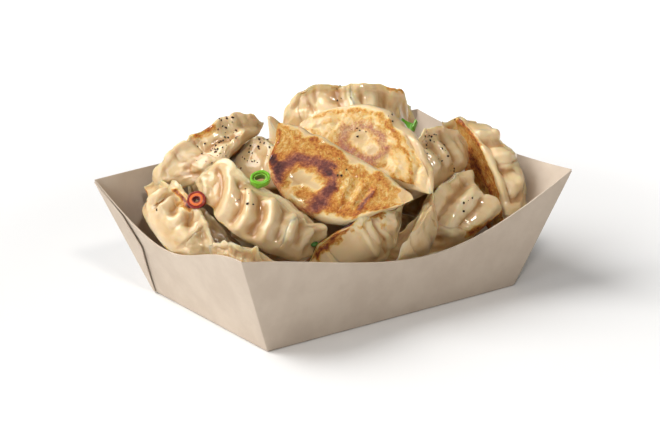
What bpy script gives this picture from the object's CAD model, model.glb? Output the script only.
import math

import bpy
import numpy as np
from mathutils import Matrix, Vector, noise
from mathutils.bvhtree import BVHTree


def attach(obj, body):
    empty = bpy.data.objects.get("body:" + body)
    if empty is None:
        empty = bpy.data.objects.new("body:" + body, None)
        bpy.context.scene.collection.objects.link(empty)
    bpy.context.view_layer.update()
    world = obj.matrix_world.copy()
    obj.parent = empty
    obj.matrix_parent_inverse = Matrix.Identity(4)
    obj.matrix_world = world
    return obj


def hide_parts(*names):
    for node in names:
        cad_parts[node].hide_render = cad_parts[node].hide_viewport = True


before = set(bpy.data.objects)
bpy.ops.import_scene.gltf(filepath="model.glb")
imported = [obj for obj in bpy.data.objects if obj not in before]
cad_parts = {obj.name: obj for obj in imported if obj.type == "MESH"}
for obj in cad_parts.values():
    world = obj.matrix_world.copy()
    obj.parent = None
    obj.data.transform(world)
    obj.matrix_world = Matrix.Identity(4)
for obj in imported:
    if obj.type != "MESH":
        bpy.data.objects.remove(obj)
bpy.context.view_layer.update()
mm = 0.001  # sizes below are in millimetres unless a name says otherwise


# ---- small tools


def linear(*colour):
    # a screen colour from 0 to 255, as the shader's linear values
    parts = [c / 255 for c in colour]
    return tuple(c / 12.92 if c < 0.04045 else ((c + 0.055) / 1.055) ** 2.4 for c in parts)


def ease(value, low, high):
    # 0 below low, 1 above high, smooth between; low above high turns it round
    t = np.clip((value - low) / (high - low), 0.0, 1.0)
    return t * t * (3.0 - 2.0 * t)


def deselect():
    if bpy.context.mode != "OBJECT":
        bpy.ops.object.mode_set(mode="OBJECT")
    bpy.ops.object.select_all(action="DESELECT")


def added(name):
    # names the object that an operator has just added
    made = bpy.context.object
    made.name = name
    made.data.name = name
    return made


def only(piece):
    deselect()
    piece.select_set(True)
    bpy.context.view_layer.objects.active = piece


def settlePlace(piece):
    only(piece)
    bpy.ops.object.transform_apply(location=True, rotation=True, scale=True)


def pointsOf(piece):
    points = np.empty(len(piece.data.vertices) * 3)
    piece.data.vertices.foreach_get("co", points)
    return points.reshape(-1, 3)


def setPoints(piece, points):
    piece.data.vertices.foreach_set("co", np.asarray(points, np.float32).ravel())
    piece.data.update()


def normalsOf(piece):
    normals = np.empty(len(piece.data.vertices) * 3)
    piece.data.vertex_normals.foreach_get("vector", normals)
    return normals.reshape(-1, 3)


def setValues(piece, name, values):
    attribute = piece.data.attributes.new(name, "FLOAT", "POINT")
    attribute.data.foreach_set("value", np.asarray(values, np.float32))


def valuesOf(piece, name):
    values = np.empty(len(piece.data.vertices), np.float32)
    piece.data.attributes[name].data.foreach_get("value", values)
    return values


def setVectors(piece, name, values):
    attribute = piece.data.attributes.new(name, "FLOAT_VECTOR", "POINT")
    attribute.data.foreach_set("vector", np.asarray(values, np.float32).ravel())


class Field:
    # smooth random values in space, worked out for many points at once

    def __init__(self, seed):
        self.table = np.random.default_rng(seed).uniform(-1.0, 1.0, (32, 32, 32))

    def at(self, points, size):
        p = np.asarray(points) / size
        cell = np.floor(p).astype(int)
        t = p - cell
        t = t * t * t * (t * (6.0 * t - 15.0) + 10.0)
        total = 0.0
        for corner in range(8):
            step = np.array((corner & 1, corner >> 1 & 1, corner >> 2))
            share = np.where(step == 1, t, 1.0 - t).prod(1)
            i, j, k = ((cell + step) % 32).T
            total = total + share * self.table[i, j, k]
        return total

    def layered(self, points, size, layers=3):
        total = sum(self.at(points + 7.3 * n, size / 2.0**n) / 1.7**n for n in range(layers))
        return total / 1.4


def finish(piece, nodes, slot, *looks):
    for look in looks:
        piece.data.materials.append(look)
    settlePlace(piece)
    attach(piece, "root")
    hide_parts(*nodes)
    return piece


# ---- shader maths


class Value:
    # one output of a shader node, which sums and products can be written with

    def __init__(self, look, socket):
        self.look = look
        self.socket = socket

    def maths(self, operation, *others, clamp=False):
        settings = {"operation": operation, "use_clamp": clamp}
        return self.look.node("Math", settings, {n: v for n, v in enumerate((self, *others))})

    def __add__(self, other):
        return self.maths("ADD", other)

    def __sub__(self, other):
        return self.maths("SUBTRACT", other)

    def __mul__(self, other):
        return self.maths("MULTIPLY", other)

    def __truediv__(self, other):
        return self.maths("DIVIDE", other)

    def __pow__(self, other):
        return self.maths("POWER", other)

    def __neg__(self):
        return self * -1.0

    def __rsub__(self, other):
        return -self + other

    __radd__ = __add__
    __rmul__ = __mul__

    def least(self, other):
        return self.maths("MINIMUM", other)

    def most(self, other):
        return self.maths("MAXIMUM", other)

    def far(self):
        return self.maths("ABSOLUTE")

    def between(self, low, high, toLow=0.0, toHigh=1.0):
        settings = {"interpolation_type": "SMOOTHSTEP"}
        return self.look.node("MapRange", settings, {0: self, 1: low, 2: high, 3: toLow, 4: toHigh})


class Look:
    # a material that is built up in expressions

    def __init__(self, name, **constants):
        self.material = bpy.data.materials.new(name)
        self.material.use_nodes = True
        self.tree = self.material.node_tree
        self.skin = self.tree.nodes["Principled BSDF"]
        for socket, value in constants.items():
            self.skin.inputs[socket.replace("_", " ")].default_value = value

    def node(self, kind, settings=None, sockets=None, output=0):
        made = self.tree.nodes.new("ShaderNode" + kind)
        for name, value in (settings or {}).items():
            if name == "stops":
                while len(made.color_ramp.elements) < len(value):
                    made.color_ramp.elements.new(0.5)
                for element, (place, colour) in zip(made.color_ramp.elements, value):
                    element.position = place
                    element.color = (*colour, 1.0)
            else:
                setattr(made, name, value)
        for name, value in (sockets or {}).items():
            if isinstance(value, Value):
                self.tree.links.new(value.socket, made.inputs[name])
            elif value is not None:
                made.inputs[name].default_value = value
        return Value(self, made.outputs[output])

    def attribute(self, name, output="Fac"):
        return self.node("Attribute", {"attribute_name": name}, output=output)

    def place(self):
        return self.node("TexCoord", output="Object")

    def scaled(self, vector, factors):
        return self.node("VectorMath", {"operation": "MULTIPLY"}, {0: vector, 1: factors})

    def noise(self, vector, size, detail=2.0, rough=0.5, warp=0.0):
        sockets = {"Vector": vector, "Scale": 1.0 / size, "Detail": detail}
        return self.node("TexNoise", None, {**sockets, "Roughness": rough, "Distortion": warp})

    def cells(self, vector, size, feature="F1", output="Distance"):
        sockets = {"Vector": vector, "Scale": 1.0 / size}
        return self.node("TexVoronoi", {"feature": feature}, sockets, output)

    def ramp(self, value, *stops):
        return self.node("ValToRGB", {"stops": stops}, {0: value})

    def mix(self, share, first, second, kind="MIX"):
        first, second = (c if isinstance(c, Value) else (*c, 1.0) for c in (first, second))
        settings = {"data_type": "RGBA", "blend_type": kind}
        return self.node("Mix", settings, {0: share, 6: first, 7: second}, 2)

    def bump(self, height, depth, normal=None, strength=1.0):
        sockets = {"Strength": strength, "Distance": depth, "Height": height, "Normal": normal}
        return self.node("Bump", None, sockets)

    def feed(self, **sockets):
        for name, value in sockets.items():
            self.tree.links.new(value.socket, self.skin.inputs[name.replace("_", " ")])
        return self.material


# ---- dumplings: a half moon of dough with a flat fried base, a pleated front (-Y) and a seam on top

dumpling = {
    "pleats": 7,  # from tip to tip, fading at both ends
    "coarse": (12, 14),  # faces round and along the shape that finds where two pieces touch
    "fine": (112, 160),
    "plain": (56, 80),
    "smoothing": 26,
    "pathSteps": 6,
    "hidden": range(15, 21),  # the lowest layer
    "seamHeight": 6.5,  # the pressed fin of dough above the filling
    "seamHalf": 1.3,
    "bellyTaper": 0.8,
    "crestPower": 2.5,
    "backShare": 0.88,  # the smooth back is flatter than the front
    "pleatDepth": 4.0,
    "pleatLean": 0.12,
    "pleatDrift": 0.08,
    "crestWave": 0.9,
    "tipLift": 2.0,
    "lump": 1.5,
    "lumpSize": 18.0,
    # from the middle of the base to the crest, in even steps: share of the belly's half width, of
    # the seam's half thickness, of the belly's height, of the seam's height, of the pleats' depth
    "section": (
        (0.00, 0.0, 0.00, 0.00, 0.00),
        (0.80, 0.0, 0.00, 0.00, 0.00),
        (1.04, 0.0, 0.24, 0.00, 0.15),
        (0.90, 0.0, 0.62, 0.00, 0.80),
        (0.26, 1.0, 0.96, 0.00, 1.00),
        (0.00, 1.0, 1.00, 0.55, 0.60),
        (0.00, 0.0, 1.00, 1.00, 0.20),
    ),
}

# middle of the base; heading and rise of the crest in degrees; turn of the length about the crest;
# length, width and height; how evenly the pleats run out to the tips; bend of the half moon
heap = (
    ((-18, -28, 72), (54, -40), 31, 80, 36, 30, 0.1, 8),
    ((8, -14, 79), (32, -36), -162, 72, 35, 29, 0.35, 8),
    ((34, 35, 64), (-126, 82), 5, 68, 31, 31, 0.1, 7),
    ((-46, 30, 56), (159, 62), 92, 67, 31, 30, 0.35, 8),
    ((-34, 17, 55), (177, 80), -152, 64, 33, 33, 0.1, 6),
    ((-58, -13, 47), (-47, 63), -96, 74, 34, 31, 0.1, 9),
    ((-86, 26, 30), (-72, 51), -108, 76, 36, 33, 0.6, 9),
    ((-21, -30, 42), (-50, -57), -112, 76, 33, 32, 0.5, 8),
    ((51, -28, 23), (-171, 38), 73, 74, 38, 34, 0.1, 8),
    ((72, -20, 49), (-11, 7), -129, 80, 33, 35, 0.35, 9),
    ((46, -15, 52), (-154, 78), -106, 60, 29, 26, 0.1, 6),
    ((-83, -46, 32), (-151, 62), 1, 58, 29, 29, 0.6, 7),
    ((8, -46, 26), (-81, 45), 42, 70, 30, 30, 0.6, 7),
    ((45, 63, 58), (54, 45), -177, 80, 30, 25, 0.6, 7),
    ((-39, -31, 1), (-90, 82), 4, 74, 31, 31, 0.35, 6),
    ((38, -32, 1), (-90, 80), -5, 76, 30, 31, 0.6, 7),
    ((-40, 2, 1), (-90, 88), 177, 75, 31, 32, 0.35, 6),
    ((37, 0, 1), (90, 85), 3, 73, 31, 31, 0.1, 8),
    ((-38, 34, 1), (90, 80), 5, 76, 31, 31, 0.35, 6),
    ((40, 33, 1), (90, 78), -4, 74, 30, 32, 0.35, 7),
    ((-28, 14, 33), (-90, 84), 20, 75, 31, 31, 0.35, 7),
    ((38, 8, 34), (90, 82), -15, 76, 31, 32, 0.35, 6),
    ((-14, 44, 42), (90, 66), 172, 75, 31, 32, 0.35, 8),
    ((46, 42, 46), (80, 62), 176, 76, 31, 32, 0.6, 7),
    ((-60, 14, 20), (-90, 80), 84, 74, 31, 31, 0.35, 7),
    ((62, 6, 24), (90, 80), 96, 75, 31, 31, 0.35, 7),
)

contact = {"gap": 0.3, "directions": 400, "rounds": 6, "reach": 2.5}
trayForm = {
    "length": 150.0,  # of the base, along X
    "width": 99.0,
    "card": 0.6,
    "endFlare": 0.42,  # how far the end walls lean out for each unit of height
    "sideFlare": 0.22,
}


def sectionShares(v):
    rows = np.array(dumpling["section"])
    steps = len(rows) - 1
    rise = np.diff(rows, axis=0)
    before = np.vstack((rise[:1] * 0.0, rise))
    after = np.vstack((rise, rise[-1:] * 0.0))
    both = before * after
    total = before + after
    slope = np.where(both > 0.0, 2.0 * both / np.where(total == 0.0, 1.0, total), 0.0)
    at = np.clip(v * steps, 0.0, steps - 1e-9)
    row = at.astype(int)
    t = (at - row)[:, None]
    return (
        rows[row] * (1.0 + 2.0 * t) * (1.0 - t) ** 2
        + slope[row] * t * (1.0 - t) ** 2
        + rows[row + 1] * t * t * (3.0 - 2.0 * t)
        - slope[row + 1] * t * t * (1.0 - t)
    ).T


def dumplingPoints(ball, length, width, height, spread, bend, seed, form=dumpling):
    # a unit ball's points, its poles on X, moved to a dumpling that stands on its base
    along = 0.5 - np.arccos(np.clip(ball[:, 0], -1.0, 1.0)) / math.pi
    s = spread * 2.0 * along + (1.0 - spread) * np.sin(math.pi * along)
    s = s + form["pleatDrift"] * np.sin(9.0 * s + seed) * (1.0 - s * s)
    around = np.arctan2(ball[:, 1], -ball[:, 2]) / math.pi
    front = around < 0.0
    bellyY, seamY, bellyZ, seamZ, pleat = sectionShares(np.abs(around))
    pleat = pleat * (1.0 - form.get("calm", 0.0) * seamZ)
    ends = np.maximum(1.0 - s * s, 0.0)
    crest = height * np.maximum(1.0 - np.abs(s) ** form["crestPower"], 0.0) ** 0.5
    seam = np.minimum(form["seamHeight"], crest * 0.75)
    half = width / 2.0 * ends ** form["bellyTaper"] * np.where(front, 1.0, form["backShare"])
    thin = form["seamHalf"] * np.minimum(1.0, 3.0 * np.sqrt(ends))
    y = half * bellyY + thin * seamY
    z = (crest - seam) * bellyZ + seam * seamZ
    turn = along * form["pleats"]
    phase = turn % 1.0
    puff = np.abs(np.sin(math.pi * (phase + 0.1 * np.sin(2.0 * math.pi * phase)))) ** 0.7
    uneven = 1.0 + 0.5 * np.sin(2.7 * np.floor(turn) + 1.9 * seed)
    fade = np.minimum(1.0, 8.0 * ends)
    fold = form["pleatDepth"] * uneven * (puff - 0.6) * pleat * fade * front
    y = np.where(front, -y, y) - fold
    wave = form["crestWave"] * seamZ * fade
    y = y + wave * np.sin(2.0 * math.pi * turn + 0.8)
    z = z + wave * np.cos(2.0 * math.pi * turn)
    y = y + bend * (s * s - 0.3)
    z = z + form["tipLift"] * s**4
    slant = form["pleatLean"] * 4.0 * bellyZ * (1.0 - bellyZ) * ends * front
    x = length / 2.0 * (s + slant)
    points = np.stack((x, y, z), 1)
    where = points / form["lumpSize"] + np.array((seed * 3.17, seed * 1.3, 0.0))
    lumps = np.array([noise.noise_vector(Vector(p)) for p in where])
    points = points + lumps * form["lump"] * (0.35 + 0.65 * np.clip(points[:, 2:] / 6.0, 0.0, 1.0))
    marks = {"s": s, "around": around, "bellyZ": bellyZ, "seamZ": seamZ, "pleat": pleat * fade * front}
    marks.update(puff=puff, ends=ends, turn=turn, fade=fade)
    return points, marks


def lay(points, place, crest, spin):
    heading, rise, spin = (math.radians(a) for a in (*crest, spin))
    up = Vector((math.cos(rise) * math.cos(heading), math.cos(rise) * math.sin(heading), math.sin(rise)))
    level = Vector((-math.sin(heading), math.cos(heading), 0.0))
    along = Matrix.Rotation(spin, 3, up) @ level
    across = up.cross(along)
    return points @ np.array((along, across, up)) + np.array(place)


def squeeze(points, normal, limit):
    # presses points back behind a plane; the dough behind gives too, less and less with depth
    depth = limit - points @ normal
    pressed = -depth.min()
    if pressed <= 0.0:
        return points
    reach = contact["reach"] * pressed + 1.0
    span = reach + pressed
    slope = 2.0 * reach / span - 1.0
    t = np.clip(depth + pressed, 0.0, span)
    moved = slope * t + (1.0 - slope) / (2.0 * span) * t * t
    inward = np.where(t < span, moved - depth, 0.0)
    return points - inward[:, None] * normal


def facings(count):
    k = np.arange(count)
    z = (k + 0.5) / count
    turn = k * math.pi * (3.0 - math.sqrt(5.0))
    flat = np.sqrt(1.0 - z * z)
    half = np.stack((flat * np.cos(turn), flat * np.sin(turn), z), 1)
    return np.vstack((half, -half))


def trayPlanes():
    inner = trayForm["card"] + contact["gap"]
    planes = [(np.array((0.0, 0.0, -1.0)), -inner)]
    sides = ((0, "length", "endFlare"), (1, "width", "sideFlare"))
    for axis, size, flare in sides:
        for side in (-1.0, 1.0):
            normal = np.zeros(3)
            normal[axis] = side
            normal[2] = -trayForm[flare]
            steep = math.sqrt(1.0 + trayForm[flare] ** 2)
            planes.append((normal / steep, trayForm[size] / 2.0 / steep - inner))
    return planes


def planesBetween(bodies, soft):
    # for two bodies that come close, the way in which they overlap least, and the limits of both
    ways = facings(contact["directions"])
    gap = contact["gap"]
    reach = np.array([(body @ ways.T).max(0) for body in bodies])
    opposite = np.roll(reach, contact["directions"], axis=1)
    found = []
    for i in soft:
        for j in range(i + 1, len(bodies)):
            overlap = reach[i] + opposite[j]
            k = int(overlap.argmin())
            if overlap[k] <= -gap:
                continue
            if j in soft:
                middle = (reach[i][k] - opposite[j][k]) / 2.0
                found.append((i, j, ways[k], middle - gap / 2.0, middle + gap / 2.0))
            else:
                edge = -opposite[j][k]
                found.append((i, j, ways[k], edge - gap, edge))
    return found


def settle(bodies, between, soft):
    walls = trayPlanes()
    for _ in range(contact["rounds"]):
        for i, j, normal, near, far in between:
            bodies[i] = squeeze(bodies[i], normal, near)
            if j in soft:
                bodies[j] = squeeze(bodies[j], -normal, -far)
        for i in soft:
            for normal, limit in walls:
                bodies[i] = squeeze(bodies[i], normal, limit)
    return bodies


def addBall(name, faces):
    deselect()
    around, along = faces
    bpy.ops.mesh.primitive_uv_sphere_add(segments=around, ring_count=along, radius=1.0)
    made = added(name)
    made.rotation_euler = (0.0, math.pi / 2.0, 0.0)
    settlePlace(made)
    return made


# ---- garnish: curved strips cut across a chilli and across spring onions
# outer radius, cut width and wall; arc in degrees; squash; place; heading and rise of the axis; turn
garnish = {
    "chilli_ring": (4.5, 2.6, 1.3, 360, 0.94, (-78, 5, 61), (-136, 34), 6),
    "onion_ring": (4.8, 4.4, 0.9, 360, 0.75, (-59, -21, 75), (-125, 48), 7),
    "onion_slice": (6.0, 4.6, 1.0, 170, 0.80, (54, 12, 74), (22, 45), -102),
}


def stripPoints(radius, cut, wall, arc, squash, place, axis, spin):
    # the outline of a strip, enough for what touches it
    points = []
    for turn in np.radians(np.linspace(-arc / 2.0, arc / 2.0, 29)):
        for across in (-cut / 2.0, cut / 2.0):
            for r in (radius, radius - wall):
                points.append((r * math.cos(turn), squash * r * math.sin(turn), across))
    return lay(np.array(points), place, axis, spin)


# ---- looks of the food

# the colours from raw dough to burnt crust
bakeStops = (
    (0.00, linear(228, 206, 166)),
    (0.12, linear(236, 208, 148)),
    (0.26, linear(228, 176, 88)),
    (0.42, linear(202, 126, 46)),
    (0.58, linear(150, 74, 32)),
    (0.76, linear(90, 38, 26)),
    (1.00, linear(44, 18, 20)),
)


def doughLook():
    look = Look(
        "steamedDough",
        Subsurface_Weight=0.55,
        Subsurface_Radius=(1.0, 0.5, 0.22),
        Subsurface_Scale=0.0045,
        IOR=1.42,
        Coat_Roughness=0.09,
    )
    grain = look.attribute("grain", "Vector")
    bake = look.attribute("bake")
    fold = look.attribute("fold")
    thin = look.attribute("thin")
    crest = look.attribute("crest")
    rose = look.attribute("rose")
    base = look.attribute("base")
    broad = look.noise(grain, 14.0, 2.0)
    small = look.noise(grain, 3.2, 3.0, 0.6)
    flecks = look.noise(grain, 1.1, 3.0, 0.65)
    # raw dough: cream, paler on the ridges, brown in the hollows where the filling shows through
    tone = look.attribute("tone")
    pale = look.mix(tone, linear(207, 178, 132), linear(238, 212, 166))
    tan = look.mix(tone, linear(193, 158, 107), linear(226, 192, 138))
    raw = look.mix(broad.between(0.35, 0.68), pale, tan)
    raw = look.mix(thin * 0.5, raw, linear(222, 201, 156))
    raw = look.mix(crest * 0.5, raw, linear(226, 207, 168))
    depth = fold + (small - 0.5) * 0.3 * fold.between(0.05, 0.4)
    raw = look.mix(depth.between(0.08, 1.0, 0.0, 0.85), raw, linear(176, 120, 58))
    # crust: the level of browning, broken up by blisters and flecks
    mottle = look.noise(grain, 2.1, 4.0, 0.72)
    level = bake + (mottle - 0.5) * bake.between(0.02, 0.3) * 0.85
    level = level + (flecks - 0.5) * bake.between(0.1, 0.5) * 0.5
    crust = look.ramp(level, *bakeStops)
    pink = look.ramp(
        level,
        (0.0, linear(228, 206, 164)),
        (0.25, linear(224, 178, 128)),
        (0.45, linear(196, 134, 106)),
        (0.7, linear(150, 86, 76)),
        (1.0, linear(92, 44, 42)),
    )
    crust = look.mix(rose, crust, pink)
    colour = look.mix(level.between(0.03, 0.2), raw, crust)
    rough = 0.30 + broad * 0.14 + level.between(0.06, 0.35) * (small * 0.4 + 0.06)
    coat = (0.5 + broad * 0.5) * (1.0 - base * 0.6) * (1.0 - level.between(0.05, 0.35) * 0.5)
    look.feed(Base_Color=colour, Roughness=rough, Coat_Weight=coat)
    blister = look.noise(grain, 1.2, 4.0, 0.62, 0.4)
    crusty = level.between(0.12, 0.45)
    height = blister * crusty * 1.5 + flecks * (crusty * 0.9 + 0.12) + small * 0.5
    return look.feed(Normal=look.bump(height, 0.0009, strength=0.8))


def stalkLook(name, skin, flesh, core, **constants):
    # depth runs from 0 on the outer skin to 1 in the middle
    look = Look(name, **constants)
    place = look.scaled(look.place(), (1000.0, 1000.0, 1000.0))
    depth = look.attribute("depth") + (look.noise(place, 1.2, 2.0) - 0.5) * 0.22
    streak = look.noise(look.scaled(place, (1.0, 1.0, 0.35)), 0.7, 2.0)
    colour = look.ramp(depth, (0.0, skin), (0.36, skin), (0.48, flesh), (0.8, flesh), (0.95, core))
    colour = look.mix(streak.between(0.3, 0.75) * 0.12, colour, flesh)
    bumps = look.bump(streak, 0.0003, strength=0.35)
    return look.feed(Base_Color=colour, Roughness=0.22 + streak * 0.2, Normal=bumps)


def pepperLook():
    look = Look("groundPepper", IOR=1.45)
    place = look.scaled(look.place(), (1000.0, 1000.0, 1000.0))
    tone = look.noise(place, 0.5, 2.0)
    colour = look.ramp(tone, (0.3, linear(22, 16, 12)), (0.6, linear(60, 42, 28)), (0.8, linear(120, 92, 60)))
    return look.feed(Base_Color=colour, Roughness=0.55 + tone * 0.3)


# ---- the heap

# ring: middle along and across the base, half length and half width of the dark ring, in
# millimetres; gold, dark, pale: how brown the base, the ring and the middle of the ring are
fry = {
    "usual": {"ring": (0, 0, 19, 9), "gold": 0.42, "dark": 0.36, "pale": 0.2, "edge": 0.19},
    1: {"gold": 0.27, "dark": 0.0, "pale": 0.0, "edge": 0.17},
    2: {"gold": 0.13, "dark": 0.0, "pale": 0.0, "edge": 0.18},
    8: {"gold": 0.6, "dark": 0.3, "pale": 0.0, "edge": 0.24},
    10: {"gold": 0.36, "dark": 0.0, "pale": 0.0, "edge": 0.22},
    9: {"gold": 0.5, "edge": 0.25},
}

# changes of form of single dumplings, by their number in the heap
forms = {
    "usual": {"calm": 0.8, "crestWave": 0.6, "pleatDepth": 3.4, "tone": 0.3},
    3: {"pleatDepth": 1.5, "crestWave": 0.4, "lump": 2.2, "tone": 0.9},
    4: {"seamHeight": 10.0, "pleatDepth": 1.0, "seamHalf": 1.5, "tone": 0.1},
    5: {"pleatDepth": 1.0, "tone": 0.5},
    6: {"pleatDepth": 1.6, "tone": 0.05},
    7: {"pleatDepth": 1.4, "crestWave": 0.3, "tone": 0.1},
    8: {"tone": 1.0},
    9: {"pleatDepth": 1.0, "seamHeight": 8.0, "tone": 0.9},
    10: {"pleatDepth": 2.4, "tone": 0.6},
    11: {"pleatDepth": 1.0, "tone": 0.4},
    12: {"pleatDepth": 0.7, "pleats": 4, "crestWave": 0.9},
}

# Marks that the cook and the pan left. A place on the dough is two shares: from -1 at one tip to 1 at
# the other, and from 0 under the middle of the base up to 1 at the crest, below 0 on the pleated side.
# A pull is the way that the dough went, along, across and up, and how wide, then where.
pulls = {
    1: (((6, -6, 1), 9, (0.65, -0.2), (0.3, -0.25)), ((1, -4, 2), 8, (0.0, -0.25), (-0.4, -0.25))),
    2: (((-2, 3, 0), 5, (0.25, -0.25)), ((6, 1, 3), 7, (0.85, -0.4), (1.0, -0.4))),
    3: (((2, 0, 1), 6, (0.8, 1.0)), ((-1, 1, 1), 5, (-0.6, 1.0))),
    4: (((-1, 2, 4), 7, (0.55, -0.4), (0.3, -0.3)), ((-6, -1, -3), 7, (-0.7, -0.8))),
    5: (((5, 2, 4), 8, (0.0, 0.6)), ((1, -1, 3), 6, (-0.1, 0.95))),
    6: (((3, -2, -7), 8, (-0.3, 1.0), (0.4, 0.95)), ((-1, -2, -5), 6, (0.65, 1.0)), ((-6, 0, 1), 8, (0.85, -0.55))),
    7: (((3, 4, 2), 8, (-0.8, -0.4)), ((5, 1, -2), 7, (-0.75, -0.9))),
    8: (((0, 1, -7), 8, (0.2, -0.25), (-0.2, -0.2), (-0.55, -0.2)), ((5, -1, 3), 8, (0.2, 0.0))),
    9: (((-7, 2, 2), 6, (1.0, 0.9), (0.9, -0.35)), ((3, -3, -3), 7, (0.55, -0.25))),
    10: (((3, 3, -6), 9, (-0.9, -0.95), (-0.25, -0.9)), ((0, 1, -2), 8, (0.25, 1.0)), ((4, 2, -4), 5, (-0.95, -0.05))),
    12: (((3, -2, -3), 6, (-0.6, -0.9)), ((0, -3, -3), 7, (0.15, 1.0)), ((-5, -5, -2), 8, (0.8, -0.95))),
    23: (((8, -4, -12), 9, (0.2, 1.0)), ((-5, 2, 12), 7, (0.5, -0.9))),
}

# a fan of folds: the row of their tops, the row of their feet, how many ridges and valleys, how far
# out and in, and how wide
fans = {
    1: (((-0.15, 0.05), (-0.5, 0.05)), ((-0.2, -0.1), (-0.5, -0.1)), 5, 0.8, 0.7, 1.1),
    3: (((-0.8, -0.85), (0.72, -0.85)), ((-0.75, -0.6), (0.75, -0.65)), 9, 1.3, 1.7, 2.2),
    6: (((-0.95, -0.75), (0.7, -0.66)), ((-0.8, -0.2), (0.75, -0.52)), 11, 1.8, 2.4, 2.3),
    7: (((-0.42, -0.74), (0.1, -1.0)), ((-0.54, -0.44), (0.55, -0.82)), 9, 1.8, 2.3, 2.0),
    8: (((-0.5, -0.05), (-0.85, -0.5)), ((-0.3, -0.7), (-0.65, -1.0)), 3, 1.8, 2.1, 1.9),
    9: (((0.75, -0.85), (0.72, -0.35)), ((-0.1, -0.75), (0.1, -0.42)), 5, 1.8, 2.1, 2.2),
    10: (((-0.55, -0.36), (0.4, -0.34)), ((-0.5, -0.52), (0.42, -0.5)), 6, 1.4, 1.7, 2.1),
    11: (((0.1, 0.68), (-0.57, 0.84)), ((0.05, 0.5), (-0.5, 0.45)), 5, 1.3, 1.5, 2.2),
}

# single folds and dents: how far out, how wide, then the places that they run through
folds = {
    1: ((-0.8, 2.0, (0.85, -0.35), (0.7, -0.25)), (-0.7, 2.6, (0.35, -0.1), (0.15, -0.1))),
    2: (
        (-1.6, 1.5, (0.5, -0.2), (0.75, -0.1), (0.85, 0.15)),
        (1.0, 1.6, (0.6, -0.27), (0.8, -0.42), (1.0, -0.32)),
        (0.8, 1.2, (0.33, -0.07), (0.5, -0.02), (0.6, 0.1)),
        (-0.8, 1.2, (0.36, 0.02), (0.45, 0.1)),
        (-1.2, 1.8, (-0.5, -0.05)),
    ),
    4: (
        (-1.9, 2.4, (-0.42, -0.6), (0.23, -0.7), (0.5, -0.56)),
        (1.4, 3.0, (-0.08, -0.68)),
        (1.3, 3.0, (0.17, -0.57)),
        (1.0, 2.5, (0.36, -0.46)),
        (-1.8, 3.0, (-0.4, -0.45), (-0.5, -0.54)),
        (0.8, 1.4, (-0.88, -0.95), (-0.1, -0.95), (0.8, -0.95)),
    ),
    5: ((-1.6, 5.0, (-0.12, 0.6)), (1.2, 2.4, (0.45, 0.8), (0.3, 0.95), (0.0, 0.98))),
    9: ((2.2, 4.0, (-0.03, -0.52)), (-2.0, 2.5, (-0.24, -0.54)), (2.0, 2.2, (0.7, -0.5), (0.62, -0.27))),
    10: (
        (1.8, 2.6, (-0.8, -0.25), (0.0, -0.25), (0.6, -0.3)),
        (-2.3, 2.0, (-0.7, -0.28), (0.0, -0.34), (0.42, -0.34)),
    ),
}

# rings that the pan left: the middle, half the length and height, and how wide
rings = {
    1: (0.46, 2.8, (0.24, -0.12), (0.28, 0.18)),
    2: (0.26, 2.8, (0.0, 0.03), (0.34, 0.11)),
}
rosy = {1: 0.6, 2: 1.0}

# browned places, and below 0 pale ones: how much, how wide, then where
browned = {
    1: (
        (0.38, 2.1, (0.68, -0.14), (0.57, -0.1)),
        (0.32, 2.2, (0.38, -0.36), (0.2, -0.34)),
        (0.34, 2.1, (-0.08, -0.07)),
        (0.48, 2.0, (0.08, 0.02)),
        (0.4, 1.8, (1.0, -0.3), (0.88, -0.3)),
        (0.3, 1.4, (-0.5, 0.04), (-0.47, -0.13)),
        (-0.85, 2.4, (0.32, -0.1), (0.24, -0.09)),
        (-0.75, 1.9, (0.16, -0.09), (0.08, -0.09)),
        (-0.5, 4.0, (-0.87, 0.1), (-1.0, 0.5)),
    ),
    2: (
        (0.22, 1.3, (-0.78, 0.23), (0.0, 0.23), (0.67, 0.4)),
        (0.2, 1.2, (0.19, -0.13), (0.68, -0.07), (0.8, 0.14)),
        (-0.4, 3.0, (-0.1, 0.0)),
        (-0.36, 2.4, (0.17, 0.07)),
        (-0.9, 3.0, (0.55, -0.27), (0.8, -0.45), (1.0, -0.32)),
        (-0.7, 2.2, (0.92, 0.13), (0.95, 0.6)),
    ),
    3: ((0.34, 1.8, (0.6, 1.0), (0.75, 1.0)),),
    4: ((0.34, 1.7, (0.07, 0.95), (0.28, 0.97)), (0.18, 3.2, (0.07, -0.9), (0.25, -0.9))),
    5: ((0.16, 4.5, (-0.15, 0.6)),),
    7: ((0.55, 1.2, (-0.4, -0.76), (-0.05, -0.82)), (0.35, 2.0, (-0.18, -0.73), (-0.05, -0.79))),
    8: ((0.8, 3.4, (0.55, -0.1), (0.0, -0.14), (-0.6, -0.1)),),
    9: ((0.55, 2.6, (0.06, -0.38), (0.32, -0.27), (0.55, -0.23)),),
    10: (
        (-0.7, 2.2, (-0.95, -0.6), (-0.12, -0.27), (0.56, -0.31)),
        (0.16, 2.0, (-0.85, 0.2), (-0.13, -0.04), (0.37, -0.07)),
        (0.16, 2.4, (-0.66, 0.2), (0.2, 0.16)),
    ),
}

broadField = Field(5)
smallField = Field(17)
fineField = Field(31)


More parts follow.
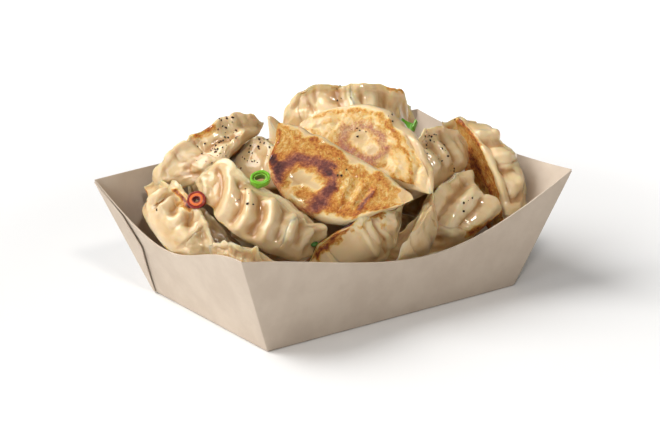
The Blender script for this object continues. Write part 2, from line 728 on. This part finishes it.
def browning(local, marks, seed):
    # how brown each point is, from 0 for steamed dough to 1 for burnt
    how = {**fry["usual"], **fry.get(seed, {})}
    shift = local + seed * 37.0
    spot = broadField.layered(shift, 9.0)
    speck = smallField.layered(shift, 3.4)
    x, y = local[:, 0], local[:, 1]
    v = np.abs(marks["around"])
    edge = how["edge"] + 0.05 * spot + 0.02 * speck
    base = ease(v, edge + 0.06, edge - 0.04) * ease(np.abs(marks["s"]), 1.0, 0.86)
    midX, midY, halfX, halfY = how["ring"]
    r = np.hypot((x - midX) / halfX, (y - midY) / halfY) + 0.16 * spot + 0.10 * speck
    ring = np.exp(-(((r - 0.86) / 0.26) ** 2)) * (0.85 + 0.5 * spot)
    middle = ease(r, 0.62, 0.44)
    toast = np.exp(-(((v - edge + 0.035) / 0.03) ** 2)) * 0.16
    level = how["gold"] * (1.0 + 0.45 * spot + 0.2 * speck) + how["dark"] * ring - how["pale"] * middle + toast
    return np.clip(base * level, 0.0, 1.0)


def refine(points, normals, marks, seed):
    # folds, wrinkles and blisters that are too fine for the plain shape
    shift = points + seed * 37.0
    v = np.abs(marks["around"])
    bottom = ease(v, 0.22, 0.15)
    side = 1.0 - bottom
    upper = ease(v, 0.3, 0.55)
    stretched = shift * np.array((1.0, 0.45, 0.4))
    wrinkle = smallField.layered(stretched, 4.2, 2)
    crease = 1.0 - 2.0 * np.abs(broadField.at(stretched + 11.0, 6.5))
    dent = broadField.layered(shift + 5.0, 11.0, 2)
    blister = fineField.layered(shift, 3.0, 3)
    push = side * (1.2 * dent + 0.55 * wrinkle * upper - 0.6 * np.maximum(crease, 0.0) ** 3 * upper)
    push = push + bottom * (0.3 * blister + 0.3 * dent)
    moved = points + push[:, None] * normals
    seam = marks["seamZ"] * marks["fade"]
    ruffle = smallField.at(shift + 3.0, 5.0) * seam
    moved[:, 1] += 0.8 * ruffle
    moved[:, 2] += 0.5 * broadField.at(shift + 9.0, 6.0) * seam
    valley = marks["pleat"] * np.clip(1.0 - marks["puff"] * 1.5, 0.0, 1.0)
    hollow = np.clip(-push * 0.8, 0.0, 1.0) * side
    return moved, np.clip(valley + hollow, 0.0, 1.0)


def hollows(piece, rounds):
    # how far each point lies below the smoothed skin around it, and how far above it
    points = pointsOf(piece)
    ends = np.empty(len(piece.data.edges) * 2, int)
    piece.data.edges.foreach_get("vertices", ends)
    one, other = ends.reshape(-1, 2).T
    count = np.bincount(ends, minlength=len(points))[:, None]
    smooth = points
    for _ in range(rounds):
        sums = [
            np.bincount(one, column[other], len(points)) + np.bincount(other, column[one], len(points))
            for column in smooth.T
        ]
        smooth = np.stack(sums, 1) / count
    below = ((smooth - points) * normalsOf(piece)).sum(1)
    return np.clip(below, 0.0, None), np.clip(-below, 0.0, None)


def pathDistance(points, path):
    # how far each point is from a path of straight runs
    path = np.array(path, float)
    nearest = np.full(len(points), np.inf)
    for start, end in zip(path, path[1:] if len(path) > 1 else path):
        way = end - start
        t = np.clip((points - start) @ way / max(float(way @ way), 1e-9), 0.0, 1.0)
        nearest = np.minimum(nearest, np.linalg.norm(points - start - t[:, None] * way, axis=1))
    return nearest


def trace(piece, points, stops):
    # a path that follows the dough through places given as shares
    along, around = valuesOf(piece, "along"), valuesOf(piece, "around")
    path = []
    for start, end in zip(stops, stops[1:] or stops):
        for t in np.linspace(0.0, 1.0, dumpling["pathSteps"] if start != end else 1):
            place = np.array(start) * (1.0 - t) + np.array(end) * t
            nearest = np.hypot(along - place[0], around - place[1]).argmin()
            path.append(points[nearest])
    return path


def pulled(piece, points, rows, crest, spin):
    # the dough near a path goes along with it, less and less further away
    for way, reach, *stops in rows:
        away = pathDistance(points, trace(piece, points, stops)) / reach
        turned = lay(np.array([way], float), (0.0, 0.0, 0.0), crest, spin)
        points = points + np.exp(-(away**2))[:, None] * turned
    return points


def fanRows(tops, feet, count, out, inward, reach):
    # ridges and valleys by turns, no two alike
    rows = []
    for number, t in enumerate(np.linspace(0.0, 1.0, count)):
        amount = (-inward if number % 2 else out) * (1.0 + 0.25 * math.sin(2.4 * number + 1.0))
        stops = [tuple(np.array(row[0]) * (1.0 - t) + np.array(row[1]) * t) for row in (tops, feet)]
        rows.append((amount, reach, *stops))
    return rows


def ringStops(middle, half, count=12):
    turns = np.linspace(0.0, 2.0 * math.pi, count + 1)
    return [(middle[0] + half[0] * math.cos(turn), middle[1] + half[1] * math.sin(turn)) for turn in turns]


def strokes(piece, points, rows, wobble=0.0, crease=2.0):
    total = np.zeros(len(points))
    for amount, reach, *stops in rows:
        away = pathDistance(points, trace(piece, points, stops)) / reach * (1.0 + wobble)
        total += amount * np.exp(-(away ** (2.0 if amount > 0.0 else crease)))
    return total


def makeDumplings(look):
    settings = dumpling
    ball = addBall("coarse", settings["coarse"])
    unit = pointsOf(ball)
    bpy.data.objects.remove(ball)
    bodies = []
    for seed, (place, crest, spin, *size) in enumerate(heap, 1):
        bodies.append(lay(dumplingPoints(unit, *size, seed)[0], place, crest, spin))
    soft = range(len(bodies))
    bodies += [stripPoints(*row) for row in garnish.values()]
    between = planesBetween(bodies, soft)
    made, looks = [], []
    for seed, (place, crest, spin, *size) in enumerate(heap, 1):
        piece = addBall(f"dumpling{seed:02d}", settings["plain"] if seed in settings["hidden"] else settings["fine"])
        form = {**settings, **forms["usual"], **forms.get(seed, {})}
        local, marks = dumplingPoints(pointsOf(piece), *size, seed, form)
        setPoints(piece, local)
        local, fold = refine(local, normalsOf(piece), marks, seed)
        looks.append((browning(local, marks, seed), fold, local, marks["around"]))
        setValues(piece, "along", marks["s"])
        setValues(piece, "around", marks["around"])
        setValues(piece, "base", ease(np.abs(marks["around"]), 0.24, 0.14))
        setValues(piece, "tone", np.full(len(local), form["tone"]))
        setValues(piece, "thin", ease(np.abs(marks["around"]), 0.66, 0.8))
        setVectors(piece, "grain", local + seed * 53.0)
        bodies[seed - 1] = lay(local, place, crest, spin)
        made.append(piece)
    bodies = settle(bodies, between, soft)
    for number, piece in enumerate(made):
        seed = number + 1
        bake, fold, local, around = looks[number]
        crest, spin = heap[number][1:3]
        points = pulled(piece, bodies[number], pulls.get(seed, ()), crest, spin)
        setPoints(piece, points)
        rough = 0.3 * broadField.at(local + 3.0 * seed, 5.0) + 0.15 * smallField.at(local, 2.0)
        shaped = [*folds.get(seed, ()), *(fanRows(*fans[seed]) if seed in fans else ())]
        push = strokes(piece, points, shaped, rough, 1.5)
        rough = 0.45 * broadField.at(local + 5.0 * seed, 4.0) + 0.35 * smallField.at(local, 1.7)
        toasted, blush = list(browned.get(seed, ())), []
        if seed in rings:
            level, reach, middle, half = rings[seed]
            toasted.append((level, reach, *ringStops(middle, half)))
            blush.append((rosy[seed], reach, *ringStops(middle, half)))
        bake = bake + strokes(piece, points, toasted, rough)
        setValues(piece, "bake", np.clip(bake, 0.0, 1.0))
        setValues(piece, "rose", np.clip(strokes(piece, points, blush, rough), 0.0, 1.0))
        thick = 1.0 - 0.7 * ease(np.abs(around), 0.66, 0.8)
        setPoints(piece, points + (push * thick)[:, None] * normalsOf(piece))
        below, above = hollows(piece, dumpling["smoothing"])
        depth = np.minimum(below / 1.3 + 0.12 * fold, 0.45) + 0.2 * np.clip(-push, 0.0, 3.0)
        setValues(piece, "fold", np.clip(depth, 0.0, 1.0))
        setValues(piece, "crest", np.clip(above / 0.9 + 0.12 * np.clip(push, 0.0, 3.0), 0.0, 1.0))
        setPoints(piece, pointsOf(piece) * mm)
        piece.data.shade_smooth()
        finish(piece, [f"gyoza_{number + 1:02d}"], "dough", look)
    print("dumplings:", len(made))
    return made


# ---- garnish pieces


def restOn(points, trees, way, sink=0.3):
    # slides a strip along a way until it touches a dumpling
    away = np.inf
    for point in points[:: max(1, len(points) // 400)]:
        for tree in trees:
            reach = tree.ray_cast(Vector(point) * mm, Vector(way))[3]
            if reach is not None:
                away = min(away, reach / mm)
    if not math.isfinite(away):
        return points
    return points + (away + sink) * np.array(way)


def makeStrip(name, node, slot, look, layers, trees, way=None):
    # rings of a stalk's cut end, each layer: its outer radius as a share, its wall, its drop
    radius, cut, wall, arc, squash, place, axis, spin = garnish[node]
    parts = []
    for number, (share, thick, drop) in enumerate(layers):
        deselect()
        bpy.ops.mesh.primitive_cylinder_add(
            vertices=56, radius=radius * share, depth=cut, end_fill_type="NOTHING", location=(0, 0, -drop)
        )
        part = added(f"{name}{number}")
        bpy.ops.object.mode_set(mode="EDIT")
        bpy.ops.mesh.select_all(action="SELECT")
        bpy.ops.mesh.subdivide(number_cuts=3)
        bpy.ops.mesh.select_all(action="DESELECT")
        bpy.ops.object.mode_set(mode="OBJECT")
        if arc < 360:
            for face in part.data.polygons:
                turn = math.degrees(math.atan2(face.center.y, face.center.x))
                face.select = abs(turn) > arc / 2.0
            bpy.ops.object.mode_set(mode="EDIT")
            bpy.ops.mesh.select_mode(type="FACE")
            bpy.ops.mesh.delete(type="FACE")
            bpy.ops.object.mode_set(mode="OBJECT")
        only(part)
        shell = part.modifiers.new("wall", "SOLIDIFY")
        shell.thickness = thick
        shell.offset = -1.0
        soften = part.modifiers.new("soften", "BEVEL")
        soften.width = thick * 0.28
        soften.segments = 3
        soften.limit_method = "ANGLE"
        bpy.ops.object.modifier_apply(modifier="wall")
        bpy.ops.object.modifier_apply(modifier="soften")
        settlePlace(part)
        parts.append(part)
    deselect()
    for part in parts:
        part.select_set(True)
    bpy.context.view_layer.objects.active = parts[0]
    if len(parts) > 1:
        bpy.ops.object.join()
    piece = bpy.context.object
    piece.name = name
    points = pointsOf(piece)
    reach = np.hypot(points[:, 0], points[:, 1]) / radius
    setValues(piece, "depth", ease(reach, 1.0, 0.45))
    sway = smallField.at(points + 40.0, 3.5)[:, None] * np.array((0.25, 0.25, 0.3))
    points = points * np.array((1.0, squash, 1.0)) + sway
    points = lay(points, place, axis, spin)
    if way:
        points = restOn(points, trees, way)
    setPoints(piece, points * mm)
    piece.data.shade_smooth()
    return finish(piece, [node], slot, look)


def treesOf(pieces):
    graph = bpy.context.evaluated_depsgraph_get()
    return [BVHTree.FromObject(piece, graph) for piece in pieces]


def makeGarnish(dumplings):
    trees = treesOf(dumplings)
    chilli = stalkLook(
        "chilliFlesh", linear(128, 6, 3), linear(216, 104, 36), linear(104, 12, 6), Coat_Weight=0.2, Coat_Roughness=0.1
    )
    onion = stalkLook(
        "onionFlesh", linear(104, 178, 22), linear(172, 214, 84), linear(96, 150, 34), Coat_Weight=0.25, Coat_Roughness=0.15
    )
    makeStrip("chilliRing", "chilli_ring", "chilli", chilli, ((1.0, 1.0, 0.0), (0.76, 1.7, -0.12), (0.36, 0.7, 0.9)), trees, (0.52, 0.72, -0.46))
    makeStrip("onionRing", "onion_ring", "spring_onion", onion, ((1.0, 1.2, 0.0), (0.66, 0.7, 0.9)), trees, (0.554, 0.763, -0.333))
    makeStrip("onionSlice", "onion_slice", "spring_onion", onion, ((1.0, 1.0, 0.0),), trees)
    print("garnish made")
    leaf = stalkLook("herbLeaf", linear(52, 104, 18), linear(84, 140, 34), linear(40, 84, 14), Coat_Weight=0.2)
    makeHerb(leaf, dumplings)


# ---- the tray

rim = {
    "tip": 60.0,
    "near": 53.0,  # the near left corner
    "nearSide": (40.0, 7.0),  # inner control heights of each wall's rim
    "nearEnd": (54.0, 7.0),
    "farSide": (62.0, 62.0),
    "farEnd": (56.0, 56.0),
    "cuts": 47,
    "foldRadius": 1.9,
}
flap = {"shares": (0.02, 0.15, 0.08), "knee": 29.0, "lift": 0.9, "gap": 0.12, "card": 0.5}


def cubic(start, first, second, end, t):
    s = 1.0 - t
    return start * s**3 + 3.0 * first * s * s * t + 3.0 * second * s * t * t + end * t**3


def rimHeight(x, y):
    if y <= -0.9999:
        return cubic(rim["near"], *rim["nearSide"], rim["tip"], (x + 1.0) / 2.0)
    if x <= -0.9999:
        return cubic(rim["near"], *rim["nearEnd"], rim["tip"], (y + 1.0) / 2.0)
    if y >= 0.9999:
        return cubic(rim["tip"], *rim["farSide"], rim["tip"], (x + 1.0) / 2.0)
    return cubic(rim["tip"], *rim["farEnd"], rim["tip"], (y + 1.0) / 2.0)


def wallPoint(x, y, height, out=0.0):
    form = trayForm
    return Vector(
        (
            x * (form["length"] / 2.0 + form["endFlare"] * height + out),
            y * (form["width"] / 2.0 + form["sideFlare"] * height + out),
            height,
        )
    ) * mm


def cardLook():
    look = Look("kraftCard", Specular_IOR_Level=0.3)
    place = look.scaled(look.place(), (1000.0, 1000.0, 1000.0))
    cloud = look.noise(place, 16.0, 3.0, 0.6)
    fibre = look.noise(look.scaled(place, (1.0, 1.0, 0.35)), 0.9, 4.0, 0.7, 0.6)
    speck = look.noise(place, 1.8, 4.0, 0.7)
    colour = look.mix(cloud.between(0.3, 0.72), linear(195, 179, 162), linear(204, 189, 172))
    colour = look.mix(fibre.between(0.55, 0.85) * 0.3, colour, linear(186, 164, 138))
    colour = look.mix(speck.between(0.66, 0.8) * 0.35, colour, linear(176, 152, 124))
    height = fibre * 0.6 + speck * 0.4
    return look.feed(Base_Color=colour, Roughness=0.72 + fibre * 0.2, Normal=look.bump(height, 0.0002, strength=0.35))


def makeTray(look):
    deselect()
    bpy.ops.mesh.primitive_cube_add(size=2.0)
    tray = added("trayShell")
    for face in tray.data.polygons:
        face.select = face.normal.z > 0.5
    bpy.ops.object.mode_set(mode="EDIT")
    bpy.ops.mesh.select_mode(type="FACE")
    bpy.ops.mesh.select_all(action="DESELECT")
    bpy.ops.object.mode_set(mode="OBJECT")
    for face in tray.data.polygons:
        face.select = face.normal.z > 0.5
    bpy.ops.object.mode_set(mode="EDIT")
    bpy.ops.mesh.delete(type="ONLY_FACE")
    bpy.ops.mesh.select_all(action="SELECT")
    bpy.ops.mesh.subdivide(number_cuts=rim["cuts"])
    bpy.ops.object.mode_set(mode="OBJECT")
    for vert in tray.data.vertices:
        x, y, z = vert.co
        onWall = max(abs(x), abs(y)) > 0.9999
        height = rimHeight(x, y) * (z + 1.0) / 2.0 if onWall else 0.0
        vert.co = wallPoint(x, y, height)
        vert.select = False
    for edge in tray.data.edges:
        edge.select = False
    # the folds: the four corners and the outline of the base
    size = (trayForm["length"] / 2.0, trayForm["width"] / 2.0)
    for edge in tray.data.edges:
        ends = [tray.data.vertices[n].co / mm for n in edge.vertices]
        onEnd = [abs(abs(p.x) - size[0] - trayForm["endFlare"] * p.z) < 0.01 for p in ends]
        onSide = [abs(abs(p.y) - size[1] - trayForm["sideFlare"] * p.z) < 0.01 for p in ends]
        low = [p.z < 0.01 for p in ends]
        edge.select = all(onEnd) and all(onSide) or all(low) and (all(onEnd) or all(onSide))
    bpy.ops.object.mode_set(mode="EDIT")
    bpy.ops.mesh.select_mode(type="EDGE")
    bpy.ops.object.mode_set(mode="OBJECT")
    for edge in tray.data.edges:
        ends = [tray.data.vertices[n].co / mm for n in edge.vertices]
        onEnd = [abs(abs(p.x) - size[0] - trayForm["endFlare"] * p.z) < 0.01 for p in ends]
        onSide = [abs(abs(p.y) - size[1] - trayForm["sideFlare"] * p.z) < 0.01 for p in ends]
        low = [p.z < 0.01 for p in ends]
        edge.select = all(onEnd) and all(onSide) or all(low) and (all(onEnd) or all(onSide))
    bpy.ops.object.mode_set(mode="EDIT")
    bpy.ops.mesh.bevel(offset=rim["foldRadius"] * mm, segments=4, affect="EDGES", clamp_overlap=True)
    bpy.ops.object.mode_set(mode="OBJECT")
    card = tray.modifiers.new("card", "SOLIDIFY")
    card.thickness = trayForm["card"] * mm
    card.offset = -1.0
    bpy.ops.object.modifier_apply(modifier="card")
    tray.data.shade_smooth()
    only(tray)
    bpy.ops.object.shade_smooth_by_angle(angle=math.radians(40))
    finish(tray, ["tray"], "card", look)
    for name, xSide in (("trayFlapLeft", -1.0), ("trayFlapRight", 1.0)):
        makeFlap(name, xSide, look)
    print("tray made")


def makeFlap(name, xSide, look):
    deselect()
    bpy.ops.mesh.primitive_grid_add(x_subdivisions=10, y_subdivisions=40, size=2.0)
    piece = added(name)
    form = flap
    baseShare, kneeShare, rimShare = form["shares"]
    for vert in piece.data.vertices:
        u = (vert.co.x + 1.0) / 2.0
        v = (vert.co.y + 1.0) / 2.0
        top = rimHeight(xSide, -xSide) - 0.8
        height = 0.6 + v * (top - 0.6)
        if height < form["knee"]:
            share = baseShare + (kneeShare - baseShare) * height / form["knee"]
        else:
            share = kneeShare + (rimShare - kneeShare) * (height - form["knee"]) / (60.0 - form["knee"])
        y = -xSide * (1.0 - 2.0 * share * u)
        height = min(height, rimHeight(xSide, y) - 0.5)
        lift = form["lift"] * u**2 * math.sin(math.pi * min(1.0, height / 58.0)) ** 0.5
        place = wallPoint(xSide, y, height)
        place.x += xSide * (form["gap"] + lift) * mm
        place.y += xSide * 0.25 * mm
        vert.co = place
    only(piece)
    bpy.ops.object.mode_set(mode="EDIT")
    bpy.ops.mesh.select_all(action="SELECT")
    bpy.ops.mesh.normals_make_consistent(inside=False)
    bpy.ops.object.mode_set(mode="OBJECT")
    outward = sum(face.normal.x for face in piece.data.polygons) * xSide > 0.0
    card = piece.modifiers.new("card", "SOLIDIFY")
    card.thickness = form["card"] * mm
    card.offset = 1.0 if outward else -1.0
    bpy.ops.object.modifier_apply(modifier="card")
    only(piece)
    bpy.ops.object.mode_set(mode="EDIT")
    bpy.ops.mesh.select_all(action="SELECT")
    bpy.ops.mesh.normals_make_consistent(inside=False)
    bpy.ops.object.mode_set(mode="OBJECT")
    bpy.ops.object.shade_smooth_by_angle(angle=math.radians(40))
    finish(piece, ["tray"], "card", look)


# ---- a bit of chopped herb

herb = {"length": 3.4, "width": 2.2, "curl": 0.9, "place": (-39.5, -38.0, 43.0), "crest": (-120, 35), "spin": 20}


def makeHerb(look, dumplings):
    deselect()
    bpy.ops.mesh.primitive_grid_add(x_subdivisions=14, y_subdivisions=8, size=2.0)
    piece = added("herbBit")
    points = pointsOf(piece)
    narrow = np.sqrt(np.clip(1.04 - points[:, 0] ** 2, 0.0, 1.0))
    points[:, 1] *= herb["width"] / 2.0 * narrow
    points[:, 2] = herb["curl"] * (points[:, 0] ** 2 * 0.6 - points[:, 1] ** 2 * 0.3)
    points[:, 0] *= herb["length"] / 2.0
    points = lay(points, herb["place"], herb["crest"], herb["spin"])
    points = restOn(points, treesOf(dumplings), (0.554, 0.763, -0.333), 0.1)
    setPoints(piece, points * mm)
    only(piece)
    leaf = piece.modifiers.new("leaf", "SOLIDIFY")
    leaf.thickness = 0.3 * mm
    bpy.ops.object.modifier_apply(modifier="leaf")
    piece.data.shade_smooth()
    setValues(piece, "depth", np.zeros(len(piece.data.vertices)))
    piece.data.materials.append(look)
    settlePlace(piece)
    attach(piece, "root")
    print("herb made")


# ---- ground pepper

# where pepper fell: dumpling, middle of the patch, how far it spread in millimetres, grains
pepper = {
    # the dumpling, the place on it, how wide in millimetres, and how many grains
    "patches": (
        (4, (0.25, -0.65), 17, 44),
        (4, (0.4, -0.8), 9, 9),
        (4, (-0.2, -0.55), 5, 4),
        (5, (0.1, 0.85), 14, 20),
        (5, (-0.1, 0.6), 5, 4),
        (11, (0.0, 0.85), 12, 20),
        (11, (-0.2, 0.65), 8, 8),
        (11, (-0.3, 0.4), 3, 4),
        (2, (-0.1, 0.0), 4, 5),
        (2, (0.1, -0.2), 4, 4),
        (1, (0.0, 0.0), 9, 6),
        (6, (-0.5, -0.5), 13, 6),
        (9, (0.4, -0.55), 6, 4),
        (3, (-0.15, -0.8), 8, 4),
        (3, (0.4, 0.9), 9, 8),
        (7, (-0.3, -0.5), 3, 2),
        (10, (-0.85, -0.2), 3, 2),
        (14, (0.0, 0.95), 10, 9),
        (24, (0.2, 0.95), 10, 8),
        (23, (0.1, 0.95), 10, 9),
        (4, (-0.3, 0.9), 9, 6),
    ),
    "size": (0.26, 0.68),
    "seed": 4,
}


def makePepper(dumplings, look):
    rng = np.random.default_rng(pepper["seed"])
    deselect()
    bpy.ops.mesh.primitive_ico_sphere_add(subdivisions=1, radius=1.0)
    grain = added("grain")
    shape = pointsOf(grain)
    faces = [tuple(face.vertices) for face in grain.data.polygons]
    bpy.data.objects.remove(grain)
    trees = treesOf(dumplings)
    points, polygons = [], []
    for number, place, spread, count in pepper["patches"]:
        tree, piece = trees[number - 1], dumplings[number - 1]
        middle = trace(piece, pointsOf(piece), [place])[0]
        centre, facing = tree.find_nearest(Vector(middle))[:2]
        way = (facing + Vector((0.0, 0.0, 0.6))).normalized()
        placed = tries = 0
        while placed < count and tries < 40 * count:
            tries += 1
            step = Vector(rng.normal(0.0, 0.5, 3)) * spread * mm
            spot, normal = tree.ray_cast(centre + step + way * 0.03, -way)[:2]
            if spot is None or (spot - centre).length > 1.3 * spread * mm or normal.z < 0.0:
                continue
            if any(other.ray_cast(spot + normal * 0.0004, way)[0] is not None for other in trees):
                continue
            size = rng.uniform(*pepper["size"]) * mm
            jitter = shape * rng.uniform(0.6, 1.2, shape.shape) * rng.uniform(0.6, 1.3, 3)
            turn = np.array(Matrix.Rotation(rng.uniform(0, 6.28), 3, Vector(rng.normal(size=3)).normalized()))
            first = len(points)
            points.extend((jitter @ turn * size + np.array(spot) + np.array(normal) * size * 0.3).tolist())
            polygons.extend([tuple(first + n for n in face) for face in faces])
            placed += 1
    mesh = bpy.data.meshes.new("pepperGrains")
    mesh.from_pydata(points, [], polygons)
    piece = bpy.data.objects.new("pepperGrains", mesh)
    bpy.context.scene.collection.objects.link(piece)
    piece.data.materials.append(look)
    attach(piece, "root")
    print("pepper grains:", len(points) // len(shape))
    return piece


# ---- stage, light and camera

view = {"azimuth": -35.97, "elevation": 19.44, "distance": 1.3805, "lens": 150.5, "aim": (-2.2, 34.13)}
light = {
    "key": {"from": (-0.9, 0.75, 1.2), "angle": 46.0, "strength": 3.15, "colour": (1.0, 0.992, 0.98)},
    "front": {"from": (-0.5, -1.1, 1.2), "size": 0.2, "power": 7.0, "colour": (1.0, 0.95, 0.89)},
    "side": {"from": (-1.6, -0.35, 0.5), "size": 0.8, "power": 8.0, "colour": (0.93, 0.97, 1.0)},
    "top": {"from": (0.3, -0.2, 2.2), "size": 3.0, "power": 9.0, "colour": (1.0, 0.995, 0.985)},
    "world": 0.085,
}


def makeStage():
    deselect()
    bpy.ops.mesh.primitive_plane_add(size=8.0, location=(0.0, 0.0, -0.0003))
    floor = added("floor")
    settlePlace(floor)
    look = Look("whiteFloor", Roughness=0.6, Specular_IOR_Level=0.2, Emission_Strength=1.0)
    tone = look.noise(look.place(), 0.4, 2.0)
    # far away the floor fades into a white backdrop
    away = look.node("VectorMath", {"operation": "LENGTH"}, {0: look.place()}, "Value")
    look.feed(Emission_Color=look.mix(away.between(0.16, 0.42), (0.0, 0.0, 0.0), (0.4, 0.4, 0.4)))
    floor.data.materials.append(look.feed(Base_Color=look.mix(tone, linear(243, 243, 243), linear(242, 242, 242))))
    for name, kind in (("key", "SUN"), ("front", "AREA"), ("side", "AREA"), ("top", "AREA")):
        setting = light[name]
        deselect()
        bpy.ops.object.light_add(type=kind, location=setting["from"])
        lamp = bpy.context.object
        lamp.name = name + "Light"
        lamp.data.color = setting["colour"]
        lamp.rotation_euler = (-Vector(setting["from"])).to_track_quat("-Z", "Y").to_euler()
        if kind == "SUN":
            lamp.data.angle = math.radians(setting["angle"])
            lamp.data.energy = setting["strength"]
        else:
            lamp.data.size = setting["size"]
            lamp.data.energy = setting["power"]
    world = bpy.data.worlds.new("studio")
    world.use_nodes = True
    sky = world.node_tree.nodes["Background"].inputs
    sky["Color"].default_value = (1.0, 1.0, 1.0, 1.0)
    sky["Strength"].default_value = light["world"]
    bpy.context.scene.world = world
    bpy.context.scene.view_settings.view_transform = "Standard"


def makeCamera():
    azimuth, elevation = math.radians(view["azimuth"]), math.radians(view["elevation"])
    back = Vector(
        (math.sin(azimuth) * math.cos(elevation), -math.cos(azimuth) * math.cos(elevation), math.sin(elevation))
    )
    right = Vector((math.cos(azimuth), math.sin(azimuth), 0.0))
    up = back.cross(right)
    aim = (right * view["aim"][0] + up * view["aim"][1]) * mm
    deselect()
    bpy.ops.object.camera_add()
    camera = bpy.context.object
    camera.data.lens = view["lens"]
    camera.data.sensor_width = 36.0
    camera.data.clip_end = 50.0
    camera.matrix_world = Matrix(((*right, 0), (*up, 0), (*back, 0), (0, 0, 0, 1))).transposed()
    camera.location = aim + back * view["distance"]
    bpy.context.scene.camera = camera


makeCamera()
makeStage()
dumplings = makeDumplings(doughLook())
makeGarnish(dumplings)
makeTray(cardLook())
makePepper(dumplings, pepperLook())
